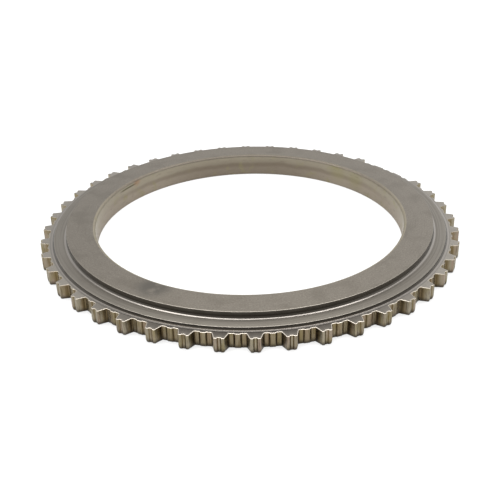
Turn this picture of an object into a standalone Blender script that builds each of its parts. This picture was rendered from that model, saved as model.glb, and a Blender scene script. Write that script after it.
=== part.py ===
"""Clutch apply plate: a one-piece steel ring with a stepped top and external teeth.

The plate is a toothed disc blanked from thick steel and then turned: a raised
pressure face round the bore, a lower shelf outside it, and the toothed rim
lowest of all. Metres, +Z up, origin at the middle of the flat underside.
"""

import math

import bmesh
import bpy

MM = 0.001

# Radial sizes, from the bore outwards
BORE_DIAMETER = 122.0 * MM
FACE_WIDTH = 11.3 * MM
SHELF_WIDTH = 5.0 * MM
RIM_WIDTH = 2.1 * MM
TOOTH_HEIGHT = 3.1 * MM

# Heights, from the flat underside upwards
RIM_THICKNESS = 5.6 * MM
SHELF_RISE = 1.05 * MM
FACE_RISE = 2.65 * MM

# Teeth
TOOTH_COUNT = 44
TOOTH_TIP_WIDTH = 3.5 * MM
FLANK_ANGLE = 18.7
TIP_CORNER_RADIUS = 0.35 * MM
TOOTH_FOOT_RADIUS = 0.3 * MM

# Shallow notch in the middle of each tooth tip
NOTCH_MOUTH_WIDTH = 1.5 * MM
NOTCH_FLOOR_WIDTH = 0.55 * MM
NOTCH_DEPTH = 0.6 * MM
NOTCH_LIP_RADIUS = 0.35 * MM

# Low pad in the middle of each gap between teeth
PAD_FOOT_WIDTH = 2.5 * MM
PAD_CREST_WIDTH = 1.5 * MM
PAD_HEIGHT = 0.42 * MM

# Two neighbouring teeth stand hardly above the gap floor
FIRST_LOW_TOOTH = 4
LOW_TOOTH_COUNT = 2
LOW_TOOTH_HEIGHT = 0.6 * MM

# Edges
DIE_ROLL_WIDTH = 0.25 * MM
DIE_ROLL_HEIGHT = 0.9 * MM
BORE_MOUTH_RADIUS = 1.0 * MM
BORE_CHAMFER = 0.4 * MM
STEP_EDGE_BREAK = 0.2 * MM
FACE_STEP_FILLET = 0.8 * MM
SHELF_STEP_FILLET = 0.75 * MM

# Facets
TURNED_SEGMENTS_PER_TOOTH = 3
CORNER_STEPS = 2
FILLET_STEPS = 3
MOUTH_STEPS = 3

# Sizes that follow from those above
BORE_RADIUS = BORE_DIAMETER / 2
FACE_RADIUS = BORE_RADIUS + FACE_WIDTH
SHELF_RADIUS = FACE_RADIUS + SHELF_WIDTH
ROOT_RADIUS = SHELF_RADIUS + RIM_WIDTH
TIP_RADIUS = ROOT_RADIUS + TOOTH_HEIGHT
SHELF_HEIGHT = RIM_THICKNESS + SHELF_RISE
FACE_HEIGHT = SHELF_HEIGHT + FACE_RISE
TURNED_SEGMENTS = TURNED_SEGMENTS_PER_TOOTH * TOOTH_COUNT
PITCH = 2 * math.pi / TOOTH_COUNT

STEEL_COLOUR = (0.28, 0.26, 0.24, 1.0)
STEEL_ROUGHNESS = 0.38


def clear_scene():
    for item in list(bpy.data.objects):
        bpy.data.objects.remove(item, do_unlink=True)


def steel():
    material = bpy.data.materials.new("ground_steel")
    material.use_nodes = True
    shader = material.node_tree.nodes["Principled BSDF"]
    shader.inputs["Base Color"].default_value = STEEL_COLOUR
    shader.inputs["Metallic"].default_value = 1.0
    shader.inputs["Roughness"].default_value = STEEL_ROUGHNESS
    material.diffuse_color = STEEL_COLOUR
    return material


def new_object(name, bm):
    mesh = bpy.data.meshes.new(name)
    bmesh.ops.recalc_face_normals(bm, faces=bm.faces)
    bm.to_mesh(mesh)
    bm.free()
    item = bpy.data.objects.new(name, mesh)
    bpy.context.scene.collection.objects.link(item)
    return item


def polar(radius, angle):
    return (radius * math.cos(angle), radius * math.sin(angle))


def round_corner(before, corner, after, radius, steps):
    """Points of an arc that rounds a corner, limited by the corner's shorter side."""
    to_before = (before[0] - corner[0], before[1] - corner[1])
    to_after = (after[0] - corner[0], after[1] - corner[1])
    length_before = math.hypot(*to_before)
    length_after = math.hypot(*to_after)
    unit_before = (to_before[0] / length_before, to_before[1] / length_before)
    unit_after = (to_after[0] / length_after, to_after[1] / length_after)
    cosine = unit_before[0] * unit_after[0] + unit_before[1] * unit_after[1]
    half_angle = math.acos(max(-1.0, min(1.0, cosine))) / 2
    reach = min(radius / math.tan(half_angle), 0.45 * min(length_before, length_after))
    radius = reach * math.tan(half_angle)
    bisector = (unit_before[0] + unit_after[0], unit_before[1] + unit_after[1])
    scale = radius / math.sin(half_angle) / math.hypot(*bisector)
    centre = (corner[0] + bisector[0] * scale, corner[1] + bisector[1] * scale)
    start = (corner[0] + unit_before[0] * reach, corner[1] + unit_before[1] * reach)
    end = (corner[0] + unit_after[0] * reach, corner[1] + unit_after[1] * reach)
    first = math.atan2(start[1] - centre[1], start[0] - centre[0])
    last = math.atan2(end[1] - centre[1], end[0] - centre[0])
    sweep = (last - first + math.pi) % (2 * math.pi) - math.pi
    angles = [first + sweep * step / steps for step in range(steps + 1)]
    return [(centre[0] + radius * math.cos(a), centre[1] + radius * math.sin(a)) for a in angles]


def full_tooth_corners():
    """Half of a tooth from its middle outwards: arc offset, radius, rounding and its steps."""
    half_tip = TOOTH_TIP_WIDTH / 2
    half_base = half_tip + TOOTH_HEIGHT * math.tan(math.radians(FLANK_ANGLE))
    return [
        (NOTCH_FLOOR_WIDTH / 2, TIP_RADIUS - NOTCH_DEPTH, 0.0, 0),
        (NOTCH_MOUTH_WIDTH / 2, TIP_RADIUS, NOTCH_LIP_RADIUS, 1),
        (half_tip, TIP_RADIUS, TIP_CORNER_RADIUS, CORNER_STEPS),
        (half_base, ROOT_RADIUS, TOOTH_FOOT_RADIUS, 1),
    ]


def low_tooth_corners():
    """Half of a low tooth: a full tooth's flanks cut off just above the gap floor."""
    flank = math.tan(math.radians(FLANK_ANGLE))
    half_base = TOOTH_TIP_WIDTH / 2 + TOOTH_HEIGHT * flank
    half_crest = half_base - LOW_TOOTH_HEIGHT * flank
    return [
        (half_crest, ROOT_RADIUS + LOW_TOOTH_HEIGHT, TIP_CORNER_RADIUS, 1),
        (half_base, ROOT_RADIUS, TOOTH_FOOT_RADIUS, 1),
    ]


def is_low(tooth):
    return FIRST_LOW_TOOTH <= tooth < FIRST_LOW_TOOTH + LOW_TOOTH_COUNT


def toothed_outline():
    """The blank's outline, counter-clockwise, with the first tooth centred on +X."""
    pad_foot = PAD_FOOT_WIDTH / 2 / ROOT_RADIUS
    pad_crest = PAD_CREST_WIDTH / 2 / (ROOT_RADIUS + PAD_HEIGHT)
    corners = []
    for tooth in range(TOOTH_COUNT):
        middle = tooth * PITCH
        half = low_tooth_corners() if is_low(tooth) else full_tooth_corners()
        for offset, radius, rounding, steps in reversed(half):
            corners.append((polar(radius, middle - offset / radius), rounding, steps))
        for offset, radius, rounding, steps in half:
            corners.append((polar(radius, middle + offset / radius), rounding, steps))
        gap = middle + PITCH / 2
        corners.append((polar(ROOT_RADIUS, gap - pad_foot), 0.0, 0))
        corners.append((polar(ROOT_RADIUS + PAD_HEIGHT, gap - pad_crest), 0.0, 0))
        corners.append((polar(ROOT_RADIUS + PAD_HEIGHT, gap + pad_crest), 0.0, 0))
        corners.append((polar(ROOT_RADIUS, gap + pad_foot), 0.0, 0))
    outline = []
    for index, (point, rounding, steps) in enumerate(corners):
        if steps == 0:
            outline.append(point)
            continue
        before = corners[index - 1][0]
        after = corners[(index + 1) % len(corners)][0]
        outline.extend(round_corner(before, point, after, rounding, steps))
    return outline


def toothed_blank():
    """The blanked disc, with the soft lower edge that the die leaves."""
    bm = bmesh.new()
    bottom = [bm.verts.new((x, y, DIE_ROLL_HEIGHT)) for x, y in toothed_outline()]
    floor = bm.faces.new(bottom)
    raised = bmesh.ops.extrude_face_region(bm, geom=[floor], use_keep_orig=True)
    top = [item for item in raised["geom"] if isinstance(item, bmesh.types.BMVert)]
    bmesh.ops.translate(bm, verts=top, vec=(0, 0, RIM_THICKNESS - DIE_ROLL_HEIGHT))
    bmesh.ops.recalc_face_normals(bm, faces=bm.faces)
    bmesh.ops.inset_region(
        bm, faces=[floor], thickness=DIE_ROLL_WIDTH, depth=DIE_ROLL_HEIGHT, use_even_offset=True
    )
    return new_object("apply_plate", bm)


def turned_solid(name, profile):
    """A solid turned about Z from (radius, height) points listed bottom to top."""
    bm = bmesh.new()
    rings = []
    for radius, height in profile:
        angles = [2 * math.pi * step / TURNED_SEGMENTS for step in range(TURNED_SEGMENTS)]
        rings.append([bm.verts.new((*polar(radius, angle), height)) for angle in angles])
    for lower, upper in zip(rings, rings[1:]):
        for step in range(TURNED_SEGMENTS):
            after = (step + 1) % TURNED_SEGMENTS
            bm.faces.new((lower[step], lower[after], upper[after], upper[step]))
    bm.faces.new(rings[0])
    bm.faces.new(rings[-1])
    return new_object(name, bm)


def fillet(wall_radius, floor_height, size, wall_height):
    """Profile points of the hollow fillet at a wall's foot, limited by the wall."""
    size = min(size, 0.9 * (wall_height - STEP_EDGE_BREAK))
    points = []
    for step in range(FILLET_STEPS + 1):
        angle = math.pi / 2 * step / FILLET_STEPS
        radius = wall_radius + size * (1 - math.sin(angle))
        height = floor_height + size * (1 - math.cos(angle))
        points.append((radius, height))
    return points


def edge_break(wall_radius, top_height):
    """Profile points of the small chamfer where a wall meets the face above it."""
    return [
        (wall_radius, top_height - STEP_EDGE_BREAK),
        (wall_radius - STEP_EDGE_BREAK, top_height),
    ]


def turned_steps():
    """The raised shelf and pressure face, rooted inside the blank."""
    root_height = RIM_THICKNESS / 2
    profile = fillet(SHELF_RADIUS, RIM_THICKNESS, SHELF_STEP_FILLET, SHELF_RISE)
    foot_radius = profile[0][0]
    profile.insert(0, (foot_radius, root_height))
    profile += edge_break(SHELF_RADIUS, SHELF_HEIGHT)
    profile += fillet(FACE_RADIUS, SHELF_HEIGHT, FACE_STEP_FILLET, FACE_RISE)
    profile += edge_break(FACE_RADIUS, FACE_HEIGHT)
    return turned_solid("turned_steps", profile)


def rounded_mouth():
    """Profile points of the bore's rounded upper mouth, its last facet running on."""
    points = []
    for step in range(MOUTH_STEPS + 1):
        angle = math.pi / 2 * step / MOUTH_STEPS
        radius = BORE_RADIUS + BORE_MOUTH_RADIUS * (1 - math.cos(angle))
        height = FACE_HEIGHT - BORE_MOUTH_RADIUS * (1 - math.sin(angle))
        points.append((radius, height))
    before, last = points[-2:]
    points[-1] = (2 * last[0] - before[0], 2 * last[1] - before[1])
    return points


def bore_cutter():
    """The bore with a chamfered lower and a rounded upper mouth, past both faces."""
    past = BORE_CHAMFER
    profile = [(BORE_RADIUS + BORE_CHAMFER + past, -past), (BORE_RADIUS, BORE_CHAMFER)]
    profile += rounded_mouth()
    return turned_solid("bore_cutter", profile)


def add_boolean(item, tool, operation):
    tool.hide_render = True
    tool.display_type = "WIRE"
    modifier = item.modifiers.new(tool.name, "BOOLEAN")
    modifier.operation = operation
    modifier.solver = "EXACT"
    modifier.object = tool


def apply_plate():
    plate = toothed_blank()
    add_boolean(plate, turned_steps(), "UNION")
    add_boolean(plate, bore_cutter(), "DIFFERENCE")
    plate.data.materials.append(steel())
    plate.data.shade_smooth()
    plate.data.set_sharp_from_angle(angle=math.radians(20))
    return plate


def main():
    clear_scene()
    apply_plate()


main()
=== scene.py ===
"""Looks for the clutch apply plate: one detailed steel ring in a white studio.

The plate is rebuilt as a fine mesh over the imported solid, with the small radii, the
tool marks and the finishes of a part that was blanked from thick steel, turned and
ground. Lengths are metres, +Z is up and the flat underside lies on the floor.
"""

from __future__ import annotations

import logging
import math
from collections.abc import Sequence
from dataclasses import dataclass, field
from enum import Enum
from typing import NamedTuple

import bpy
import numpy as np
from mathutils import Matrix, Vector


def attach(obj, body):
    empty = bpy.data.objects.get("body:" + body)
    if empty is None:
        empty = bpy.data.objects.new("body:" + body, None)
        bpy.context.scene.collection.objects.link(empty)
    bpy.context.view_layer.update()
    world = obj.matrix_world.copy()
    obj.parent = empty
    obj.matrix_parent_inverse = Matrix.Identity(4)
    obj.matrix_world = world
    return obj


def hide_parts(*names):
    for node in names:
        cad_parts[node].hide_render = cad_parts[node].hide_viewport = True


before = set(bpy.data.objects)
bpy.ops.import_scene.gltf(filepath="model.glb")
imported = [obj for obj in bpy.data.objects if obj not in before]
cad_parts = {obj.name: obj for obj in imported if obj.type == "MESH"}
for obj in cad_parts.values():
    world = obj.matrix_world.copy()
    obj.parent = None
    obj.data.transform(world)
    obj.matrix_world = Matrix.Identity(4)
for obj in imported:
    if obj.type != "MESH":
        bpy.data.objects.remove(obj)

LOG = logging.getLogger("apply_plate")
MM = 0.001
# edges that turn by more degrees than this stay sharp
SHARP_ANGLE = 40.0
# the part of its shorter side that a rounded corner may take up
LONGEST_REACH = 0.45
RELIEF_STRENGTH = 0.6
QUARTER_TURN = 0.25
# an emission of this strength renders white
WHITE = 1.0
# a grain as long as this doesn't change over the plate
ENDLESS = 1.0
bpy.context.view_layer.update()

Point2 = tuple[float, float]
Point3 = tuple[float, float, float]
Colour = tuple[float, float, float, float]
Socket = bpy.types.NodeSocket
Inputs = dict[str | int, float | Point3 | Colour | Socket]


def linear(hex_colour: str) -> Colour:
    """Turns an sRGB hex colour into linear RGBA.

    Args:
        hex_colour: A colour such as "#8a847b".

    Returns:
        Linear red, green, blue and an alpha of 1.
    """
    channels = [int(hex_colour[i : i + 2], 16) / 255 for i in (1, 3, 5)]
    red, green, blue = [
        c / 12.92 if c <= 0.04045 else ((c + 0.055) / 1.055) ** 2.4 for c in channels
    ]
    return (red, green, blue, 1.0)


def add_node(
    tree: bpy.types.NodeTree,
    kind: str,
    inputs: Inputs | None = None,
    output: str | int = 0,
    **settings: str,
) -> Socket:
    """Adds a node, sets its options, and fills or links its inputs.

    Args:
        tree: The node tree that takes the node.
        kind: The node's type name without the ShaderNode prefix.
        inputs: Input sockets by name or number, each with a value or an output socket.
        output: Name or number of the output that is wanted.
        settings: Options of the node and their values.

    Returns:
        The output socket, from which the node can be reached.
    """
    node = tree.nodes.new(f"ShaderNode{kind}")
    for name, option in settings.items():
        setattr(node, name, option)
    for name, value in (inputs or {}).items():
        if isinstance(value, Socket):
            tree.links.new(value, node.inputs[name])
        else:
            node.inputs[name].default_value = value
    return node.outputs[output]


class Zone(Enum):
    """The parts of the surface that were made in different ways."""

    PRESSURE_FACE = 0
    STEP_WALL = 1
    STEP_FILLET = 2
    SHELF = 3
    RIM = 4
    TOOTH_EDGE = 5
    BORE = 6
    UNDERSIDE = 7


class Corner(NamedTuple):
    """A corner of the toothed outline before it is rounded."""

    point: Point2
    rounding: float
    arc_steps: int
    side_steps: int
    painted_shade: float


class Station(NamedTuple):
    """A point of the turned section, with the surface that follows it."""

    radius: float
    height: float
    zone: Zone
    wear_and_painted_light: float = 0.0
    painted_shade: float = 0.0


class Tooling(NamedTuple):
    """How a ring of the blanked edge is marked, with the surface that follows it."""

    zone: Zone
    wear_and_painted_light: float
    shade_share: float


class Hollow(NamedTuple):
    """The fillet at a wall's foot, with painted shade on its part above the angle dark_from."""

    radius: float
    dark_from: float
    oil: float


# this share weights the painted shade and the painted highlights towards the front side
def front_share(angles: np.ndarray, spread: float, least: float) -> np.ndarray:
    """Gives 1 at the front side, which faces the camera, and less away from it.

    Args:
        angles: Angles from +X in radians.
        spread: Angle from the front side at which the share has mostly fallen, in degrees.
        least: The share at the far side.

    Returns:
        The share at each angle.
    """
    from_front = np.degrees((angles + 1.5 * math.pi) % (2 * math.pi) - math.pi)
    return least + (1 - least) * np.exp(-((from_front / spread) ** 2))


@dataclass
class PlateSizes:
    """The sizes of the plate, as in its construction."""

    bore_radius: float = 61.0 * MM
    face_width: float = 11.3 * MM
    shelf_width: float = 5.0 * MM
    rim_width: float = 2.1 * MM
    tooth_height: float = 3.1 * MM
    rim_thickness: float = 5.6 * MM
    shelf_rise: float = 1.05 * MM
    face_rise: float = 2.65 * MM

    @property
    def face_radius(self) -> float:
        """Outer radius of the pressure face."""
        return self.bore_radius + self.face_width

    @property
    def shelf_radius(self) -> float:
        """Outer radius of the shelf."""
        return self.face_radius + self.shelf_width

    @property
    def root_radius(self) -> float:
        """Radius of the floor of the gaps between teeth."""
        return self.shelf_radius + self.rim_width

    @property
    def tip_radius(self) -> float:
        """Radius over the tooth tips."""
        return self.root_radius + self.tooth_height

    @property
    def shelf_height(self) -> float:
        """Height of the shelf above the underside."""
        return self.rim_thickness + self.shelf_rise

    @property
    def face_height(self) -> float:
        """Height of the pressure face above the underside."""
        return self.shelf_height + self.face_rise


@dataclass
class ToothForm:
    """The sizes of one tooth and of the low pad in the gap beside it."""

    tip_drop: float = 0.0
    root_drop: float = 0.0
    tip_width: float = 3.5 * MM
    tip_corner_radius: float = 0.35 * MM
    foot_radius: float = 0.3 * MM
    notch_mouth: float = 1.75 * MM
    notch_floor: float = 0.9 * MM
    notch_depth: float = 0.52 * MM
    notch_lip_radius: float = 0.35 * MM
    notch_corner_radius: float = 0.1 * MM
    pad_foot: float = 2.5 * MM
    pad_crest: float = 1.6 * MM
    pad_height: float = 0.42 * MM
    pad_corner_radius: float = 0.15 * MM


@dataclass
class ToothedOutline:
    """The blanked outline: tapered teeth with a tip notch, and a low pad in each gap."""

    sizes: PlateSizes
    form: ToothForm
    tooth_count: int = 44
    flank_angle: float = 18.7
    first_low_tooth: int = 4
    low_tooth_count: int = 2
    low_tooth_height: float = 0.6 * MM
    corner_reach: float = 0.15 * MM
    foot_reach: float = 1.7 * MM
    # painted shade in the hollow corners: the feet of the teeth, beside the pads and in the notch
    # floors
    foot_shade: float = 1.0
    pad_shade: float = 0.8
    notch_shade: float = 0.6
    root_shade: float = 0.23
    # painted shade that climbs the flanks, and how far outside the root it is full
    flank_shade: float = 0.85
    flank_shade_rise: float = 0.4 * MM
    # how far outside the root radius its own painted shade reaches
    root_band: float = 0.7 * MM
    # the painted shade is strongest on the front side: how fast it falls off, and its share at
    # the far side
    shade_spread: float = 55.0
    far_shade: float = 0.35
    points: np.ndarray = field(init=False)
    painted_shade: np.ndarray = field(init=False)

    def __post_init__(self) -> None:
        """Works out the outline's points and the painted shade in its hollow corners and on its
        flanks.
        """
        corners = self.corners()
        arcs: list[list[Point2]] = []
        for index, corner in enumerate(corners):
            before = corners[index - 1].point
            after = corners[(index + 1) % len(corners)].point
            arcs.append(self.round_corner(before, corner, after))
        outline: list[Point2] = []
        marks: list[Point3] = []
        for index, (corner, arc) in enumerate(zip(corners, arcs)):
            start = np.array(arc[-1])
            end = np.array(arcs[(index + 1) % len(arcs)][0])
            outline.extend(arc)
            for step in range(1, corner.side_steps):
                outline.append(tuple(start + (end - start) * step / corner.side_steps))
            if corner.painted_shade > 0:
                marks.append((*arc[len(arc) // 2], corner.painted_shade))
        self.points = np.array(outline)
        self.painted_shade = self.spread_painted_shade(np.array(marks))

    def corners(self) -> list[Corner]:
        """Lists the outline's corners, counter-clockwise, first tooth on +X.

        Returns:
            The corners of all the teeth and pads.
        """
        form = self.form
        pitch = 2 * math.pi / self.tooth_count
        root = self.sizes.root_radius - form.root_drop
        tip = self.sizes.tip_radius - form.tip_drop
        slope = math.tan(math.radians(self.flank_angle))
        half_base = form.tip_width / 2 + (tip - root) * slope
        low_crest = half_base - self.low_tooth_height * slope
        half_mouth = form.notch_mouth / 2
        half_floor = form.notch_floor / 2
        floor = tip - form.notch_depth
        half_tip = form.tip_width / 2
        foot, pit, notch = self.foot_shade, self.pad_shade, self.notch_shade
        # each corner: offset, radius, rounding, steps of its arc and next side, painted shade
        full = [
            (-half_base, root, form.foot_radius, 3, 9, foot),
            (-half_tip, tip, form.tip_corner_radius, 5, 2, 0.0),
            (-half_mouth, tip, form.notch_lip_radius, 4, 1, 0.0),
            (-half_floor, floor, form.notch_corner_radius, 2, 3, notch),
            (half_floor, floor, form.notch_corner_radius, 2, 1, notch),
            (half_mouth, tip, form.notch_lip_radius, 4, 2, 0.0),
            (half_tip, tip, form.tip_corner_radius, 5, 9, 0.0),
            (half_base, root, form.foot_radius, 3, 5, foot),
        ]
        low_tip = root + self.low_tooth_height
        low = [
            (-half_base, root, form.foot_radius, 3, 1, foot),
            (-low_crest, low_tip, form.tip_corner_radius, 3, 12, 0.0),
            (low_crest, low_tip, form.tip_corner_radius, 3, 1, 0.0),
            (half_base, root, form.foot_radius, 3, 5, foot),
        ]
        crest = root + form.pad_height
        pad = [
            (-form.pad_foot / 2, root, form.pad_corner_radius, 2, 1, pit),
            (-form.pad_crest / 2, crest, form.pad_corner_radius, 2, 5, 0.0),
            (form.pad_crest / 2, crest, form.pad_corner_radius, 2, 1, 0.0),
            (form.pad_foot / 2, root, form.pad_corner_radius, 2, 5, pit),
        ]
        corners: list[Corner] = []
        last_low = self.first_low_tooth + self.low_tooth_count
        for tooth in range(self.tooth_count):
            shape = low if self.first_low_tooth <= tooth < last_low else full
            middle = tooth * pitch
            for start, parts in ((middle, shape), (middle + pitch / 2, pad)):
                for offset, radius, rounding, arc_steps, side_steps, painted_shade in parts:
                    angle = start + offset / radius
                    point = (radius * math.cos(angle), radius * math.sin(angle))
                    corners.append(Corner(point, rounding, arc_steps, side_steps, painted_shade))
        return corners

    @staticmethod
    def round_corner(before: Point2, corner: Corner, after: Point2) -> list[Point2]:
        """Rounds one corner with an arc, limited by its shorter side.

        Args:
            before: The corner before this one.
            corner: The corner to round.
            after: The corner after this one.

        Returns:
            The points of the arc.
        """
        middle = Vector(corner.point)
        to_before = Vector(before) - middle
        to_after = Vector(after) - middle
        half_angle = to_before.angle(to_after) / 2
        longest_reach = LONGEST_REACH * min(to_before.length, to_after.length)
        reach = min(corner.rounding / math.tan(half_angle), longest_reach)
        radius = reach * math.tan(half_angle)
        bisector = (to_before.normalized() + to_after.normalized()).normalized()
        centre = middle + bisector * (radius / math.sin(half_angle))
        start = middle + to_before.normalized() * reach - centre
        end = middle + to_after.normalized() * reach - centre
        first = math.atan2(start.y, start.x)
        sweep = (math.atan2(end.y, end.x) - first + math.pi) % (2 * math.pi) - math.pi
        steps = corner.arc_steps
        turns = [first + sweep * step / steps for step in range(steps + 1)]
        return [
            (centre.x + radius * math.cos(turn), centre.y + radius * math.sin(turn))
            for turn in turns
        ]

    def spread_painted_shade(self, marks: np.ndarray) -> np.ndarray:
        """Spreads painted shade: dense in the hollow corners, thin up the flanks, even along the
        root.

        Args:
            marks: Place and amount of painted shade of each hollow corner.

        Returns:
            The painted shade at each outline point, from 0 to 1.
        """
        gaps = self.points[:, None, :] - marks[None, :, :2]
        distance = np.sqrt((gaps**2).sum(axis=2))
        dense = marks[None, :, 2] * np.exp(-((distance / self.corner_reach) ** 2))
        is_foot = marks[None, :, 2] >= self.foot_shade
        shade_film = self.flank_shade * np.exp(-((distance / self.foot_reach) ** 2))
        thin = np.where(is_foot, shade_film, 0.0)
        above_root = np.linalg.norm(self.points, axis=1) - self.sizes.root_radius
        climbed = np.clip(above_root / self.flank_shade_rise, 0, 1)
        low = np.where(above_root < self.root_band, self.root_shade, 0.0)
        painted_shade = np.maximum(dense.max(axis=1), thin.max(axis=1) * climbed)
        # the painted shade is strongest on the front side
        angles = np.arctan2(self.points[:, 1], self.points[:, 0])
        return np.maximum(painted_shade, low) * front_share(angles, self.shade_spread, self.far_shade)

    def inset(self, amount: float) -> np.ndarray:
        """Moves the outline inwards by an even amount.

        Args:
            amount: How far to move each side, in metres.

        Returns:
            The moved points, one for each point of the outline.
        """
        ahead = np.roll(self.points, -1, axis=0) - self.points
        ahead /= np.linalg.norm(ahead, axis=1, keepdims=True)
        behind = np.roll(ahead, 1, axis=0)
        left_ahead = np.stack([-ahead[:, 1], ahead[:, 0]], axis=1)
        left_behind = np.stack([-behind[:, 1], behind[:, 0]], axis=1)
        mitre = left_ahead + left_behind
        mitre /= 1 + (left_ahead * left_behind).sum(axis=1, keepdims=True)
        return self.points + mitre * amount


@dataclass
class RingMesh:
    """Grows a closed surface from rings of points, each joined to the one before."""

    points: list[np.ndarray] = field(default_factory=list)
    faces: list[tuple[int, ...]] = field(default_factory=list)
    zones: list[int] = field(default_factory=list)
    wear_and_painted_light: list[np.ndarray] = field(default_factory=list)
    painted_shade: list[np.ndarray] = field(default_factory=list)
    total: int = 0

    def ring(
        self, xy: np.ndarray, height: float, wear_and_painted_light: np.ndarray | float, painted_shade: np.ndarray | float
    ) -> range:
        """Adds one ring of points.

        Args:
            xy: The ring's points, seen from above.
            height: The ring's height.
            wear_and_painted_light: Wear and painted light at each point, or at all of them, from
                0 to 1.
            painted_shade: Painted shade of each point, or of all of them.

        Returns:
            The numbers of the ring's points.
        """
        count = len(xy)
        self.points.append(np.column_stack([xy, np.full(count, height)]))
        self.wear_and_painted_light.append(np.broadcast_to(np.asarray(wear_and_painted_light, dtype=float), (count,)).copy())
        self.painted_shade.append(np.broadcast_to(np.asarray(painted_shade, dtype=float), (count,)).copy())
        numbers = range(self.total, self.total + count)
        self.total += count
        return numbers

    def band(self, outer: range, inner: range, zone: Zone) -> None:
        """Joins two rings of equal count with a band of four-sided faces.

        Args:
            outer: The first ring.
            inner: The ring after it.
            zone: The surface of the band.
        """
        count = len(outer)
        for step in range(count):
            after = (step + 1) % count
            self.faces.append((outer[step], outer[after], inner[after], inner[step]))
            self.zones.append(zone.value)

    def zip_rings(self, outer: range, inner: range, zone: Zone) -> None:
        """Joins two rings of unequal count with triangles, by their angles.

        Args:
            outer: The first ring.
            inner: The ring after it.
            zone: The surface between them.
        """
        points = np.concatenate(self.points)
        turns = []
        for ring in (outer, inner):
            xy = points[ring.start : ring.stop, :2]
            turns.append(np.unwrap(np.arctan2(xy[:, 1], xy[:, 0])))
        outer_turns, inner_turns = turns
        shift = round((outer_turns[0] - inner_turns[0]) / (2 * math.pi)) * 2 * math.pi
        inner_turns = inner_turns + shift
        i = j = 0
        while i < len(outer) or j < len(inner):
            next_outer = self.turn_at(outer_turns, i + 1)
            next_inner = self.turn_at(inner_turns, j + 1)
            here = (outer[i % len(outer)], inner[j % len(inner)])
            if j >= len(inner) or (i < len(outer) and next_outer <= next_inner):
                i += 1
                self.faces.append((here[0], outer[i % len(outer)], here[1]))
            else:
                j += 1
                self.faces.append((here[0], inner[j % len(inner)], here[1]))
            self.zones.append(zone.value)

    @staticmethod
    def turn_at(turns: np.ndarray, index: int) -> float:
        """Gives a ring point's angle, going on past a full turn."""
        return float(turns[index % len(turns)]) + 2 * math.pi * (index // len(turns))

    def mesh(self, name: str) -> bpy.types.Mesh:
        """Makes the Blender mesh, with its zones, its wear with painted light and its painted
        shade.

        Args:
            name: The mesh's name.

        Returns:
            The mesh, shaded smooth except at sharp edges.
        """
        mesh = bpy.data.meshes.new(name)
        mesh.from_pydata(np.concatenate(self.points).tolist(), [], self.faces)
        mesh.polygons.foreach_set("material_index", self.zones)
        for label, rings in (("wear_and_painted_light", self.wear_and_painted_light), ("painted_shade", self.painted_shade)):
            layer = mesh.attributes.new(label, "FLOAT", "POINT")
            layer.data.foreach_set("value", np.concatenate(rings))
        mesh.shade_smooth()
        mesh.set_sharp_from_angle(angle=math.radians(SHARP_ANGLE))
        mesh.update()
        return mesh


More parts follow.
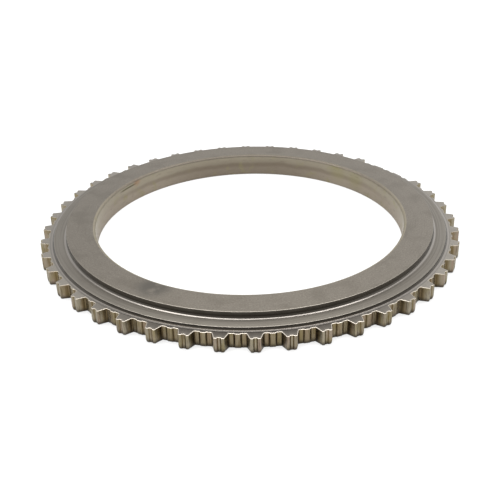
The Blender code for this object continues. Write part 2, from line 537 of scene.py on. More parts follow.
@dataclass
class ApplyPlate:
    """The steel ring: its turned section, its blanked edge and its finishes."""

    sizes: PlateSizes
    outline: ToothedOutline
    lower_outline: ToothedOutline
    turned_segments: int = 352
    join_inset: float = 0.33 * MM
    support: float = 0.06 * MM
    bore_roll: float = 1.0 * MM
    bore_lower_break: float = 0.35 * MM
    step_edge_radius: float = 0.12 * MM
    # each fillet is painted with shade from the angle dark_from up to its wall
    face_hollow: Hollow = Hollow(1.0 * MM, 232.0, 0.8)
    shelf_hollow: Hollow = Hollow(0.9 * MM, 254.0, 1.4)
    # degrees by which the dark part of a fillet starts beyond its bright part
    hollow_seam: float = 4.0
    # painted shade on the level just outside each fillet
    hollow_end_shade: float = 0.25
    # painted shade low and high on a wall, darker towards its foot, and how many fillet radii up
    # the low place is
    wall_shade: Point2 = (0.4, 0.1)
    wall_low_place: float = 1.3
    # painted shade at the outer edge, the floor and the inner edge of the shallow groove
    groove_shade: Point3 = (0.8, 1.4, 0.1)
    # how fast the painted shade falls off away from the front side, and its share at the far side
    shade_spread: float = 38.0
    far_shade: float = 0.25
    # pale step and rim edges: wear with a painted highlight
    step_edge_wear_and_highlight: float = 0.9
    rim_edge_wear_and_highlight: float = 0.3
    # how fast the painted highlights fall off away from the front side, and their share at the
    # far side
    highlight_spread: float = 55.0
    far_highlight: float = 0.2
    # wear with painted light and painted shade of the bore's two rounds, and how far along the
    # top round the first is strongest; on the top round it is painted shade over the lamp's
    # highlight at the rear
    bore_roll_shade: Point2 = (1.0, 0.0)
    bore_roll_shade_at: float = 0.27
    bore_break_marks: Point2 = (0.2, 0.3)
    groove_offset: float = 1.4 * MM
    groove_width: float = 0.42 * MM
    groove_depth: float = 0.05 * MM
    tooth_edge_radius: float = 0.21 * MM
    die_roll_height: float = 1.6 * MM
    arc_steps: int = 6

    def arc(
        self,
        centre: Point2,
        radius: float,
        ends: Point2,
        zone: Zone,
        marks: Point2 = (0.0, 0.0),
        strongest_at: float = 0.5,
    ) -> list[Station]:
        """Makes stations along an arc of the section.

        Args:
            centre: Radius and height of the arc's centre.
            radius: The arc's radius.
            ends: Angles of the arc's ends in degrees, from outwards towards up.
            zone: The surface along the arc.
            marks: Wear and painted light at its peak, fading to the ends, and painted shade all
                along.
            strongest_at: Where that place is along the arc, from 0 to 1.

        Returns:
            The arc's stations.
        """
        wear_and_painted_light, painted_shade = marks
        stations = []
        for step in range(self.arc_steps + 1):
            share = step / self.arc_steps
            angle = math.radians(ends[0] + (ends[1] - ends[0]) * share)
            outwards = centre[0] + radius * math.cos(angle)
            upwards = centre[1] + radius * math.sin(angle)
            wear_and_light_share = wear_and_painted_light * math.sin(math.pi * share ** (math.log(0.5) / math.log(strongest_at)))
            stations.append(Station(outwards, upwards, zone, wear_and_light_share, painted_shade))
        return stations

    def step(
        self, radius: float, foot: float, head: float, hollow: Hollow, zone: Zone
    ) -> list[Station]:
        """Makes one turned step: hollow fillet, wall with painted shade, worn upper edge with
        painted highlight.

        Args:
            radius: Radius of the step's wall.
            foot: Height of the level outside the wall.
            head: Height of the level inside the wall.
            hollow: The fillet at the wall's foot.
            zone: The surface of the inner level.

        Returns:
            The step's stations, from the outer level inwards.
        """
        edge = self.step_edge_radius
        fillet, dark_from, oil = hollow
        centre = (radius + fillet, foot + fillet)
        start = radius + fillet + self.support
        stations = [Station(start, foot, Zone.STEP_FILLET, painted_shade=self.hollow_end_shade)]
        stations += self.arc(centre, fillet, (270, dark_from), Zone.STEP_FILLET)
        # the fillet above dark_from takes the walls' darker finish and painted shade
        dark = (dark_from - self.hollow_seam, 180)
        stations += self.arc(centre, fillet, dark, Zone.STEP_WALL, (0.0, oil))
        if head - foot > 2 * fillet:
            levels = (foot + self.wall_low_place * fillet, head - edge - self.support)
            # painted shade on the wall, darker low
            for level, painted_shade in zip(levels, self.wall_shade):
                stations.append(Station(radius, level, Zone.STEP_WALL, painted_shade=painted_shade))
        marks = (self.step_edge_wear_and_highlight, 0.0)
        stations += self.arc((radius - edge, head - edge), edge, (0, 90), zone, marks)
        stations.append(Station(radius - edge - self.support, head, zone))
        return stations

    def section(self) -> list[Station]:
        """Lists the turned section from the rim inwards over the top to the underside.

        Returns:
            The section's stations.
        """
        sizes = self.sizes
        bore, shelf, top = sizes.bore_radius, sizes.shelf_height, sizes.face_height
        rim = sizes.rim_thickness
        support = self.support
        join = sizes.root_radius - self.join_inset
        groove = sizes.shelf_radius + self.groove_offset
        half_groove = self.groove_width / 2
        outer_shade, floor_shade, inner_shade = self.groove_shade
        roll = self.bore_roll
        lower = self.bore_lower_break
        stations = [
            Station(join, rim, Zone.RIM),
            Station(groove + half_groove + support, rim, Zone.RIM),
            # a shallow groove, darkened with painted shade
            Station(groove + half_groove, rim, Zone.STEP_FILLET, painted_shade=outer_shade),
            Station(groove, rim - self.groove_depth, Zone.STEP_FILLET, painted_shade=floor_shade),
            Station(groove - half_groove, rim, Zone.STEP_FILLET, painted_shade=inner_shade),
        ]
        stations += self.step(sizes.shelf_radius, rim, shelf, self.shelf_hollow, Zone.SHELF)
        face = Zone.PRESSURE_FACE
        stations += self.step(sizes.face_radius, shelf, top, self.face_hollow, face)
        stations.append(Station((sizes.face_radius + bore) / 2, top, face))
        stations.append(Station(bore + roll + support, top, face))
        edge = (bore + roll, top - roll)
        marks, shade_at = self.bore_roll_shade, self.bore_roll_shade_at
        stations += self.arc(edge, roll, (90, 180), Zone.BORE, marks, shade_at)
        stations.append(Station(bore, top - roll - support, Zone.BORE))
        stations.append(Station(bore, lower + support, Zone.BORE))
        edge = (bore + lower, lower)
        stations += self.arc(edge, lower, (180, 270), Zone.BORE, self.bore_break_marks)
        for radius in (bore + lower + support, (bore + join) / 2, join):
            stations.append(Station(radius, 0.0, Zone.UNDERSIDE))
        return stations

    def spin_section(self, grower: RingMesh) -> tuple[range, range]:
        """Turns the section about the bore axis.

        Args:
            grower: The mesh that takes the rings.

        Returns:
            The first ring, on the rim, and the last, on the underside.
        """
        stations = self.section()
        turns = np.linspace(0, 2 * math.pi, self.turned_segments, endpoint=False)
        # painted shade and painted highlights are strongest on the front side, towards the camera
        oil = front_share(turns, self.shade_spread, self.far_shade)
        wear_and_light_share = front_share(turns, self.highlight_spread, self.far_highlight)
        way = np.column_stack([np.cos(turns), np.sin(turns)])
        rings = []
        for station in stations:
            wear_and_painted_light = station.wear_and_painted_light * (1.0 if station.zone is Zone.BORE else wear_and_light_share)
            xy = station.radius * way
            rings.append(grower.ring(xy, station.height, wear_and_painted_light, station.painted_shade * oil))
        for station, outer, inner in zip(stations, rings, rings[1:]):
            grower.band(outer, inner, station.zone)
        return rings[0], rings[-1]

    def toothed_rings(self, grower: RingMesh) -> tuple[range, range]:
        """Builds the blanked edge from the underside up to the rim.

        Args:
            grower: The mesh that takes the rings.

        Returns:
            The first ring, on the underside, and the last, on the rim.
        """
        outline = self.outline
        lower = self.lower_outline
        join = self.sizes.root_radius - self.join_inset
        turns = np.arctan2(outline.points[:, 1], outline.points[:, 0])
        circle = np.column_stack([join * np.cos(turns), join * np.sin(turns)])
        top = self.sizes.rim_thickness
        # the sheared wall takes the outline's painted shade in full, the upper round less as it
        # turns up
        sheared = Tooling(Zone.TOOTH_EDGE, 0.0, 1.0)
        rings = [
            (circle, 0.0, Tooling(Zone.UNDERSIDE, 0.0, 0.0)),
            (lower.inset(self.support), 0.0, Tooling(Zone.UNDERSIDE, 0.0, 0.0)),
        ]
        for step in range(self.arc_steps + 1):
            turn = math.pi / 2 * step / self.arc_steps
            rolled = lower.points + (outline.points - lower.points) * math.sin(turn)
            rings.append((rolled, self.die_roll_height * (1 - math.cos(turn)), sheared))
        edge = self.tooth_edge_radius
        rings.append((outline.points, top - edge - self.support, sheared))
        for step in range(self.arc_steps + 1):
            turn = math.pi / 2 * step / self.arc_steps
            wear_and_painted_light = math.sin(turn)
            zone = Zone.TOOTH_EDGE if step < self.arc_steps else Zone.RIM
            height = top - edge * (1 - math.sin(turn))
            place = outline.inset(edge * (1 - math.cos(turn)))
            rings.append((place, height, Tooling(zone, wear_and_painted_light, 1 - wear_and_painted_light)))
        # a ring on the rim inside the edge, with some wear and painted highlight
        worn_and_lit_rim = Tooling(Zone.RIM, self.rim_edge_wear_and_highlight, 0.0)
        rings.append((outline.inset(edge + self.support), top, worn_and_lit_rim))
        rings.append((circle, top, Tooling(Zone.RIM, 0.0, 0.0)))
        # the painted highlight on the upper edge is strongest on the front side
        wear_and_light_share = front_share(turns, self.highlight_spread, self.far_highlight)
        numbers = [
            grower.ring(place, height, made.wear_and_painted_light * wear_and_light_share, outline.painted_shade * made.shade_share)
            for place, height, made in rings
        ]
        for (_, _, made), under, over in zip(rings, numbers, numbers[1:]):
            grower.band(under, over, made.zone)
        return numbers[0], numbers[-1]

    def build(self) -> bpy.types.Object:
        """Builds the plate's mesh and its object.

        Returns:
            The plate, with one material slot's number for each zone.
        """
        grower = RingMesh()
        rim_ring, under_ring = self.spin_section(grower)
        toothed_under, toothed_rim = self.toothed_rings(grower)
        grower.zip_rings(toothed_rim, rim_ring, Zone.RIM)
        grower.zip_rings(under_ring, toothed_under, Zone.UNDERSIDE)
        mesh = grower.mesh("apply_plate_steel")
        plate = bpy.data.objects.new("apply_plate_steel", mesh)
        bpy.context.scene.collection.objects.link(plate)
        return plate

    def dress(self, plate: bpy.types.Object) -> None:
        """Gives each zone of the plate its finish.

        Args:
            plate: The plate's object, whose faces carry their zone's number.
        """
        ground = GroundSteel()
        # the walls are a darker copy of the turned steel: painted shade
        shaded_walls = TurnedSteel(colour="#66625c", ring_colour="#5b5751", roughness=0.28)
        # the fillets are painted lighter than the shelf to strengthen their highlight from the
        # overhead lamp
        highlighted_fillets = TurnedSteel(
            colour="#8b8680", ring_colour="#85807a", roughness=0.3, relief=0.002 * MM
        )
        # the rim takes painted shade on its front side
        rim = GroundSteel(colour="#8a857d", light="#969189", dark="#78736c", shade_film=0.85)
        finishes: dict[Zone, bpy.types.Material] = {
            Zone.PRESSURE_FACE: ground.material("ground_spring_steel_face"),
            Zone.STEP_WALL: shaded_walls.material("shade_painted_turned_steel_walls"),
            Zone.STEP_FILLET: highlighted_fillets.material("highlight_painted_steel_fillets"),
            Zone.SHELF: TurnedSteel().material("turned_spring_steel_shelf"),
            Zone.RIM: rim.material("ground_spring_steel_rim"),
            Zone.TOOTH_EDGE: BlankedSteel().material("blanked_spring_steel_teeth"),
            Zone.BORE: PunchedBore().material("punched_spring_steel_bore"),
            Zone.UNDERSIDE: ground.material("ground_spring_steel_underside"),
        }
        for zone in Zone:
            plate.data.materials.append(finishes[zone])


class SteelTree:
    """The node tree of one steel finish, with the patterns that the finishes share."""

    def __init__(self, name: str, roughness: float, anisotropic: float = 0.0) -> None:
        """Makes a metal material.

        Args:
            name: The material's name.
            roughness: The roughness of the steel.
            anisotropic: How far its fine rings round the bore axis spread the light.
        """
        self.material = bpy.data.materials.new(name)
        self.material.use_nodes = True
        self.tree = self.material.node_tree
        self.shader = self.tree.nodes["Principled BSDF"]
        self.shader.inputs["Metallic"].default_value = 1.0
        self.shader.inputs["Roughness"].default_value = roughness
        self.place = add_node(self.tree, "TexCoord", output="Object")
        axes = add_node(self.tree, "SeparateXYZ", {0: self.place}).node.outputs
        self.depth, self.height = axes["Y"], axes["Z"]
        # wear with painted light: pale edges with a painted highlight, and painted shade on the
        # bore's top round
        self.wear_and_painted_light = add_node(self.tree, "Attribute", output="Fac", attribute_name="wear_and_painted_light")
        # painted shade, laid on the mesh where shade falls
        self.painted_shade = add_node(self.tree, "Attribute", output="Fac", attribute_name="painted_shade")
        if anisotropic > 0:
            tangent = add_node(self.tree, "Tangent", direction_type="RADIAL", axis="Z")
            self.tree.links.new(tangent, self.shader.inputs["Tangent"])
            self.shader.inputs["Anisotropic"].default_value = anisotropic
            self.shader.inputs["Anisotropic Rotation"].default_value = QUARTER_TURN

    def grain(self, size: Point3, detail: float) -> Socket:
        """Makes a noise with grains of a real size.

        Args:
            size: Width, depth and height of a grain in metres.
            detail: How many finer layers are on it.

        Returns:
            The noise, around 0.5.
        """
        scale = (1 / size[0], 1 / size[1], 1 / size[2])
        place = add_node(self.tree, "VectorMath", {0: self.place, 1: scale}, operation="MULTIPLY")
        noise = {"Vector": place, "Scale": 1.0, "Detail": detail}
        return add_node(self.tree, "TexNoise", noise, "Fac")

    def swept_grain(self, radius: float, size: Point3, detail: float) -> Socket:
        """Makes a noise whose grains are swept round the bore axis.

        Args:
            radius: Radius at which the grain length is true.
            size: Grain length round the axis, width along the radius, and height.
            detail: How many finer layers are on it.

        Returns:
            The noise, around 0.5.
        """
        tree = self.tree
        flat = add_node(tree, "VectorMath", {0: self.place, 1: (1, 1, 0)}, operation="MULTIPLY")
        length = add_node(tree, "VectorMath", {0: flat}, "Value", operation="LENGTH")
        way = add_node(tree, "VectorMath", {0: flat}, operation="NORMALIZE")
        turn = {0: way, "Scale": radius / size[0]}
        spread = add_node(tree, "VectorMath", turn, operation="SCALE")
        outwards = add_node(tree, "Math", {0: length, 1: 1 / size[1]}, operation="MULTIPLY")
        rise = {0: self.height, 1: 1 / size[2], 2: outwards}
        level = add_node(tree, "Math", rise, operation="MULTIPLY_ADD")
        shift = add_node(tree, "CombineXYZ", {"Z": level})
        place = add_node(tree, "VectorMath", {0: spread, 1: shift}, operation="ADD")
        noise = {"Vector": place, "Scale": 1.0, "Detail": detail}
        return add_node(tree, "TexNoise", noise, "Fac")

    def gap(self, angle: float, radius: float, height: float) -> Socket:
        """Measures how far each place is from one point of the plate.

        Args:
            angle: Angle from -Y towards +X in degrees.
            radius: Distance from the bore axis.
            height: Height over the underside.

        Returns:
            The distance in metres.
        """
        turn = math.radians(angle)
        centre = (radius * math.sin(turn), -radius * math.cos(turn), height)
        ends = {0: self.place, 1: centre}
        return add_node(self.tree, "VectorMath", ends, "Value", operation="DISTANCE")

    def lay(
        self,
        tone: Socket | Colour,
        hex_colour: str,
        pattern: Socket,
        ends: Point2,
        most: float | Socket = 1.0,
    ) -> Socket:
        """Lays a colour over a tone where a pattern goes from one value to another.

        Args:
            tone: The tone so far.
            hex_colour: The colour.
            pattern: The pattern that decides where the colour shows.
            ends: The pattern's values where the colour begins and where it is full.
            most: How much of the colour shows there.

        Returns:
            The new tone.
        """
        eased = {"Value": pattern, "From Min": ends[0], "From Max": ends[1], "To Max": most}
        share = add_node(self.tree, "MapRange", eased, interpolation_type="SMOOTHSTEP")
        parts = {0: share, 6: tone, 7: linear(hex_colour)}
        return add_node(self.tree, "Mix", parts, 2, data_type="RGBA")

    def finish(self, tone: Socket, relief: Socket, depth: float) -> bpy.types.Material:
        """Links the colour and the relief to the shader.

        Args:
            tone: The surface colour.
            relief: The relief, from 0 to 1.
            depth: The depth of the relief in metres.

        Returns:
            The finished material.
        """
        relief_inputs = {"Strength": RELIEF_STRENGTH, "Distance": depth, "Height": relief}
        bump = add_node(self.tree, "Bump", relief_inputs, "Normal")
        self.tree.links.new(tone, self.shader.inputs["Base Color"])
        self.tree.links.new(bump, self.shader.inputs["Normal"])
        return self.material


@dataclass(frozen=True)
class GroundSteel:
    """Spring steel, ground flat on a turning table and wiped with oil.

    To the eye it is an even, warm mid grey with a soft sheen, a fine mottled grain,
    faint arcs from the grinding wheel, and clouding where the oil dried. Its edges are
    pale from wear and a painted highlight, and painted shade can darken its front side.
    """

    colour: str = "#767067"
    light: str = "#8e887e"
    dark: str = "#5f5950"
    smudge: str = "#5b5751"
    # a pale edge of wear with a painted highlight, then the painted shade of the front side
    edge: str = "#bdb6ab"
    oil: str = "#433e39"
    shade_film: float = 0.0
    # depths where the painted shade on the front side begins and where it is full
    shade_film_depths: Point2 = (-45 * MM, -82 * MM)
    # the smudge's angle, radius and height, and its reach with that of its full part
    smudge_place: Point3 = (-31.8, 64.5 * MM, 9.3 * MM)
    smudge_reach: Point2 = (8.5 * MM, 2.5 * MM)
    roughness: float = 0.42
    relief: float = 0.006 * MM
    # real grit leaves marks of 0.05 mm, drawn coarser here so that they show
    grain_size: float = 0.55 * MM
    cloud_size: float = 9 * MM
    arc_radius: float = 67 * MM
    arc_size: Point3 = (9 * MM, 0.5 * MM, ENDLESS)
    anisotropic: float = 0.3

    def material(self, name: str) -> bpy.types.Material:
        """Makes the ground finish as a material.

        Args:
            name: The material's name.

        Returns:
            The material.
        """
        steel = SteelTree(name, self.roughness, self.anisotropic)
        grain = steel.grain((self.grain_size,) * 3, 4.0)
        clouds = steel.grain((self.cloud_size,) * 3, 5.0)
        arcs = steel.swept_grain(self.arc_radius, self.arc_size, 2.0)
        tone = steel.lay(linear(self.colour), self.light, grain, (0.5, 0.72), 0.5)
        tone = steel.lay(tone, self.dark, grain, (0.5, 0.28), 0.5)
        tone = steel.lay(tone, self.dark, clouds, (0.45, 0.7), 0.4)
        tone = steel.lay(tone, self.dark, arcs, (0.5, 0.75), 0.25)
        patchy = {"Value": clouds, "From Min": 0.3, "From Max": 0.48}
        blotch = add_node(steel.tree, "MapRange", patchy, interpolation_type="SMOOTHSTEP")
        spot = steel.gap(*self.smudge_place)
        tone = steel.lay(tone, self.smudge, spot, self.smudge_reach, blotch)
        # painted shade on the front side, then wear with a painted highlight on the edges
        tone = steel.lay(tone, self.oil, steel.depth, self.shade_film_depths, self.shade_film)
        tone = steel.lay(tone, self.edge, steel.wear_and_painted_light, (0.0, 1.0))
        return steel.finish(tone, grain, self.relief)


@dataclass(frozen=True)
class TurnedSteel:
    """Spring steel as the lathe tool left it.

    To the eye it is a smoother, slightly cooler grey than the ground face, with
    fine rings round the axis that draw the light out across them. Painted shade darkens
    its hollows, walls and groove, and its edges are pale from wear and a painted highlight.
    """

    colour: str = "#7c776f"
    ring_colour: str = "#6e6961"
    # painted shade, then a pale edge of wear with a painted highlight
    oil: str = "#37332e"
    edge: str = "#bdb6ab"
    roughness: float = 0.45
    relief: float = 0.008 * MM
    # the tool feed is about 0.1 mm a turn, drawn coarser here so that it shows
    ring_size: Point3 = (45 * MM, 0.35 * MM, 0.35 * MM)
    ring_radius: float = 75 * MM
    patch_size: float = 7 * MM
    anisotropic: float = 0.5

    def material(self, name: str) -> bpy.types.Material:
        """Makes the turned finish as a material.

        Args:
            name: The material's name.

        Returns:
            The material.
        """
        steel = SteelTree(name, self.roughness, self.anisotropic)
        rings = steel.swept_grain(self.ring_radius, self.ring_size, 2.0)
        patches = steel.grain((self.patch_size,) * 3, 3.0)
        tone = steel.lay(linear(self.colour), self.ring_colour, rings, (0.4, 0.7))
        tone = steel.lay(tone, self.ring_colour, patches, (0.5, 0.75), 0.4)
        # painted shade, then wear with a painted highlight
        tone = steel.lay(tone, self.oil, steel.painted_shade, (0.0, 1.0))
        tone = steel.lay(tone, self.edge, steel.wear_and_painted_light, (0.0, 1.0))
        return steel.finish(tone, rings, self.relief)


@dataclass(frozen=True)
class BlankedSteel:
    """The edge that the blanking die sheared, with painted shade in its corners.

    To the eye it is khaki grey with fine upright streaks and brown and olive tints. Painted
    shade darkens the hollow corners, the flanks and the foot, and a pale line of wear and
    painted highlight runs along the upper edge.
    """

    colour: str = "#857e6e"
    pink: str = "#837366"
    olive: str = "#766d4f"
    streak: str = "#564b3d"
    # the next three colours are painted shade: a fringe and a dark core in the hollows and up the
    # flanks, and a darker foot
    halo: str = "#665635"
    oil: str = "#2a211b"
    foot: str = "#35302a"
    # a pale upper edge of wear with a painted highlight
    edge: str = "#cbc3b7"
    roughness: float = 0.38
    relief: float = 0.03 * MM
    # real shear marks are 0.1 mm apart, drawn coarser here so that they show
    streak_size: Point3 = (0.4 * MM, 0.4 * MM, 5.6 * MM)
    tint_size: Point3 = (1.6 * MM, 1.6 * MM, 20 * MM)
    patch_size: Point3 = (3.5 * MM, 3.5 * MM, 6 * MM)
    # heights where the painted shade at the foot begins and where it is full
    bottom_shade_heights: Point2 = (2.0 * MM, 0.3 * MM)

    def material(self, name: str) -> bpy.types.Material:
        """Makes the blanked finish as a material.

        Args:
            name: The material's name.

        Returns:
            The material.
        """
        steel = SteelTree(name, self.roughness)
        streaks = steel.grain(self.streak_size, 3.0)
        tints = steel.grain(self.tint_size, 2.0)
        patches = steel.grain(self.patch_size, 2.0)
        tone = steel.lay(linear(self.colour), self.pink, tints, (0.52, 0.35), 0.8)
        tone = steel.lay(tone, self.olive, patches, (0.45, 0.7), 0.8)
        tone = steel.lay(tone, self.streak, streaks, (0.48, 0.7), 0.8)
        # painted shade in the hollows and up the flanks, then darker towards the foot
        tone = steel.lay(tone, self.halo, steel.painted_shade, (0.0, 0.45), 0.8)
        tone = steel.lay(tone, self.oil, steel.painted_shade, (0.2, 0.85), 0.97)
        tone = steel.lay(tone, self.foot, steel.height, self.bottom_shade_heights, 0.7)
        # wear with a painted highlight on the upper edge
        tone = steel.lay(tone, self.edge, steel.wear_and_painted_light, (0.0, 1.0))
        return steel.finish(tone, streaks, self.relief)


@dataclass(frozen=True)
class PunchedBore:
    """The punched wall of the bore, browned by old oil, with painted shade on its far side.

    To the eye it is light where the punch burnished it near the top, with a thin dark
    wavy line at mid height where the metal tore, brown and olive stains, and a dark
    slit beside a rusty spot at the left rear. Painted shade darkens its far side
    downwards, its lower break and the rear of its top round. A place is an angle, a
    radius and a height. A pair of lengths says where a mark begins and where it is full.
    """

    burnished: str = "#8a8374"
    lower: str = "#898073"
    tear_and_shade: str = "#5d5347"
    olive: str = "#7f7a55"
    rust: str = "#8a6140"
    dent: str = "#4a4632"
    # painted shade on the bore's top round at the rear, over the overhead lamp's highlight
    shade: str = "#4a453e"
    edge: str = "#6b645b"
    roughness: float = 0.52
    relief: float = 0.02 * MM
    radius: float = 61 * MM
    wave_size: Point3 = (10 * MM, ENDLESS, 30 * MM)
    wave_rise: float = 2.4 * MM
    fine_size: Point3 = (3 * MM, ENDLESS, 0.7 * MM)
    stain_size: float = 5 * MM
    burnished_heights: Point2 = (5.6 * MM, 8.2 * MM)
    rear_shade_heights: Point2 = (11.0 * MM, 6.2 * MM)
    tear_height: float = 6.1 * MM
    tear_reach: Point2 = (1.6 * MM, 0.2 * MM)
    rear_depths: Point2 = (44 * MM, 61 * MM)
    tear_depths: Point2 = (5 * MM, 50 * MM)
    rear_edge_depths: Point2 = (0.0, 38 * MM)
    slit_place: Point3 = (-121.7, 61 * MM, 7.7 * MM)
    slit_length: Point2 = (7 * MM, 3 * MM)
    slit_width: Point2 = (0.55 * MM, 0.1 * MM)
    rust_place: Point3 = (-127.4, 61.3 * MM, 8.6 * MM)
    rust_reach: Point2 = (3.2 * MM, 0.5 * MM)
    olive_places: tuple[Point3, ...] = (
        (128.8, 61 * MM, 5.6 * MM),
        (138.0, 61 * MM, 6.5 * MM),
    )
    olive_reach: Point2 = (6.5 * MM, 1.0 * MM)

    def material(self, name: str) -> bpy.types.Material:
        """Makes the punched bore finish as a material.

        Args:
            name: The material's name.

        Returns:
            The material.
        """
        steel = SteelTree(name, self.roughness)
        tree = steel.tree
        waves = steel.swept_grain(self.radius, self.wave_size, 3.0)
        fine = steel.swept_grain(self.radius, self.fine_size, 3.0)
        stains = steel.grain((self.stain_size,) * 3, 4.0)
        lift = {0: waves, 1: self.wave_rise, 2: steel.height}
        wavy = add_node(tree, "Math", lift, operation="MULTIPLY_ADD")
        shares = []
        # shares: painted shade at the rear, the tear line towards the rear, and painted shade on
        # the rear of the rounds
        for (near, far), most in (
            (self.rear_depths, 0.5),
            (self.tear_depths, 0.42),
            (self.rear_edge_depths, 1.0),
        ):
            span = {"Value": steel.depth, "From Min": near, "From Max": far, "To Max": most}
            shares.append(add_node(tree, "MapRange", span, interpolation_type="SMOOTHSTEP"))
        rear, torn, rear_edge_shade = shares
        gaps = []
        for level, height in ((wavy, self.tear_height), (steel.height, self.slit_place[2])):
            above = add_node(tree, "Math", {0: level, 1: height}, operation="SUBTRACT")
            gaps.append(add_node(tree, "Math", {0: above}, operation="ABSOLUTE"))
        off_tear, off_slit = gaps
        tone = steel.lay(linear(self.lower), self.burnished, wavy, self.burnished_heights)
        # painted shade: the far side darker downwards
        tone = steel.lay(tone, self.tear_and_shade, wavy, self.rear_shade_heights, rear)
        tone = steel.lay(tone, self.tear_and_shade, off_tear, self.tear_reach, torn)
        tone = steel.lay(tone, self.tear_and_shade, fine, (0.55, 0.8), 0.35)
        tone = steel.lay(tone, self.olive, stains, (0.55, 0.72), 0.5)
        # painted shade along the lower break
        tone = steel.lay(tone, self.tear_and_shade, steel.painted_shade, (0.0, 1.0))
        slit = steel.gap(*self.slit_place)
        begin, full = self.slit_length
        span = {"Value": slit, "From Min": begin, "From Max": full, "To Max": 0.85}
        dented = add_node(tree, "MapRange", span, interpolation_type="SMOOTHSTEP")
        tone = steel.lay(tone, self.dent, off_slit, self.slit_width, dented)
        tone = steel.lay(tone, self.rust, steel.gap(*self.rust_place), self.rust_reach, 0.45)
        for place in self.olive_places:
            tone = steel.lay(tone, self.olive, steel.gap(*place), self.olive_reach, 0.4)
        # painted shade on the rear of the bore's rounds
        tone = steel.lay(tone, self.edge, steel.wear_and_painted_light, (0.0, 1.0), rear_edge_shade)
        tone = steel.lay(tone, self.shade, steel.wear_and_painted_light, (0.0, 1.0), rear)
        return steel.finish(tone, fine, self.relief)


class Softbox(NamedTuple):
    """A soft lamp: its power in watts, its width, depth and distance, and where it hangs."""

    name: str
    power: float
    width: float
    depth: float
    distance: float
    elevation: float
    turn: float


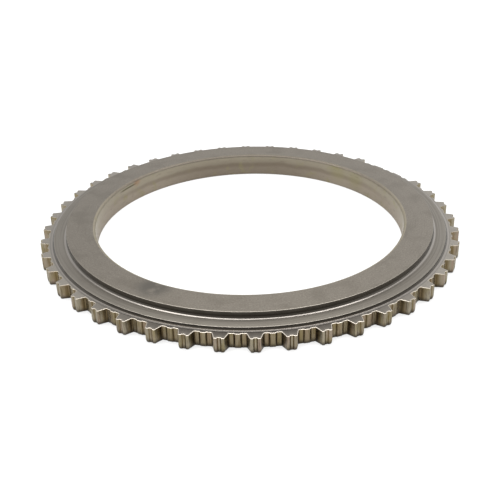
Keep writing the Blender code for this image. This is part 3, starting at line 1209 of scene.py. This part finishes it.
@dataclass
class Studio:
    """A white studio: a pale floor, an even white surround and three soft lamps."""

    floor_size: float = 4.0
    glow_to_sight: float = 0.7
    glow_to_metal: float = 0.3
    surround_light: float = 0.75
    softboxes: tuple[Softbox, ...] = (
        Softbox("overhead_softbox", 11.0, 1.2, 0.5, 0.9, 86.0, -170.0),
        Softbox("left_softbox", 0.9, 0.5, 0.4, 0.9, 55.0, -116.0),
        Softbox("right_softbox", 0.7, 0.9, 0.7, 0.9, 32.0, 136.0),
    )

    def by_ray(
        self, tree: bpy.types.NodeTree, unseen: float, sight: float, metal: float
    ) -> Socket:
        """Picks a value by what a ray is for.

        Args:
            tree: The node tree that takes the nodes.
            unseen: The value for rays that only carry light.
            sight: The value for camera and transmission rays.
            metal: The value for glossy rays.

        Returns:
            The socket that carries the value.
        """
        path = add_node(tree, "LightPath").node.outputs
        through = {0: path["Is Camera Ray"], 1: path["Is Transmission Ray"]}
        seen = add_node(tree, "Math", through, operation="MAXIMUM")
        values = {"Factor": seen, "A": unseen, "B": sight}
        first = add_node(tree, "Mix", values, data_type="FLOAT")
        values = {"Factor": path["Is Glossy Ray"], "A": first, "B": metal}
        return add_node(tree, "Mix", values, data_type="FLOAT")

    def surround(self) -> None:
        """Makes the white surround that the steel reflects."""
        world = bpy.data.worlds.new("white_surround")
        world.use_nodes = True
        tree = world.node_tree
        background = tree.nodes["Background"]
        strength = self.by_ray(tree, self.surround_light, WHITE, WHITE)
        background.inputs["Color"].default_value = linear("#ffffff")
        tree.links.new(strength, background.inputs["Strength"])
        bpy.context.scene.world = world

    def floor(self) -> None:
        """Makes the pale floor, which keeps the plate's shadow."""
        half = self.floor_size / 2
        mesh = bpy.data.meshes.new("studio_floor")
        corners = [(-half, -half, 0), (half, -half, 0), (half, half, 0), (-half, half, 0)]
        mesh.from_pydata(corners, [], [(0, 1, 2, 3)])
        floor = bpy.data.objects.new("studio_floor", mesh)
        bpy.context.scene.collection.objects.link(floor)
        material = bpy.data.materials.new("matt_white_board")
        material.use_nodes = True
        tree = material.node_tree
        tree.nodes.remove(tree.nodes["Principled BSDF"])
        matt = add_node(tree, "BsdfDiffuse", {"Color": linear("#fafafa")})
        glow = add_node(tree, "Emission", {"Color": linear("#ffffff"), "Strength": WHITE})
        share = self.by_ray(tree, 0.0, self.glow_to_sight, self.glow_to_metal)
        board = add_node(tree, "MixShader", {0: share, 1: matt, 2: glow})
        tree.links.new(board, tree.nodes["Material Output"].inputs["Surface"])
        mesh.materials.append(material)

    def hang(self, softbox: Softbox) -> None:
        """Hangs one soft lamp that faces the plate.

        Args:
            softbox: The lamp's sizes and place.
        """
        light = bpy.data.lights.new(softbox.name, "AREA")
        light.energy = softbox.power
        light.shape = "RECTANGLE"
        light.size = softbox.width
        light.size_y = softbox.depth
        elevation = math.radians(softbox.elevation)
        turn = math.radians(softbox.turn)
        level = math.cos(elevation)
        way = Vector((math.sin(turn) * level, -math.cos(turn) * level, math.sin(elevation)))
        lamp = bpy.data.objects.new(softbox.name, light)
        lamp.location = way * softbox.distance
        lamp.rotation_euler = (-way).to_track_quat("-Z", "Y").to_euler()
        bpy.context.scene.collection.objects.link(lamp)

    def build(self) -> None:
        """Sets up the surround, the floor and the lamps."""
        self.surround()
        self.floor()
        for softbox in self.softboxes:
            self.hang(softbox)
        view = bpy.context.scene.view_settings
        view.view_transform = "Standard"


@dataclass
class PhotoCamera:
    """The camera that took the picture, found from the bore, the steps and the teeth."""

    picture_side: float = 500.0
    sensor: float = 36.0
    focal_length: float = 850.0
    place: Point3 = (-3.757 * MM, -305.626 * MM, 159.630 * MM)
    aim: Point3 = (-0.251 * MM, -13.298 * MM, 0.0)
    roll: float = -1.364
    nearest: float = 10 * MM

    def build(self) -> None:
        """Makes the camera and puts it in use."""
        camera_data = bpy.data.cameras.new("photo_camera")
        camera_data.lens = self.focal_length * self.sensor / self.picture_side
        camera_data.sensor_width = self.sensor
        camera_data.clip_start = self.nearest
        camera = bpy.data.objects.new("photo_camera", camera_data)
        sight = Vector(self.aim) - Vector(self.place)
        turned = sight.to_track_quat("-Z", "Y").to_matrix().to_4x4()
        rolled = Matrix.Rotation(math.radians(self.roll), 4, "Z")
        camera.matrix_world = Matrix.Translation(self.place) @ turned @ rolled
        bpy.context.scene.collection.objects.link(camera)
        bpy.context.scene.camera = camera


def main() -> None:
    """Builds the studio, the camera and the plate."""
    logging.basicConfig(level=logging.INFO, format="%(name)s: %(message)s")
    Studio().build()
    PhotoCamera().build()
    sizes = PlateSizes()
    die_rolled = ToothForm(
        tip_drop=0.35 * MM,
        root_drop=0.2 * MM,
        tip_width=2.7 * MM,
        tip_corner_radius=1.1 * MM,
        notch_mouth=1.2 * MM,
        notch_depth=0.2 * MM,
        notch_lip_radius=0.6 * MM,
        pad_height=0.2 * MM,
    )
    lower_outline = ToothedOutline(sizes, die_rolled, flank_angle=26.0)
    plate_maker = ApplyPlate(sizes, ToothedOutline(sizes, ToothForm()), lower_outline)
    plate = plate_maker.build()
    plate_maker.dress(plate)
    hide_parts("apply_plate")
    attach(plate, "root")
    triangles = sum(len(face.vertices) - 2 for face in plate.data.polygons)
    LOG.info("plate: %d points, %d triangles", len(plate.data.vertices), triangles)


if __name__ == "__main__":
    main()
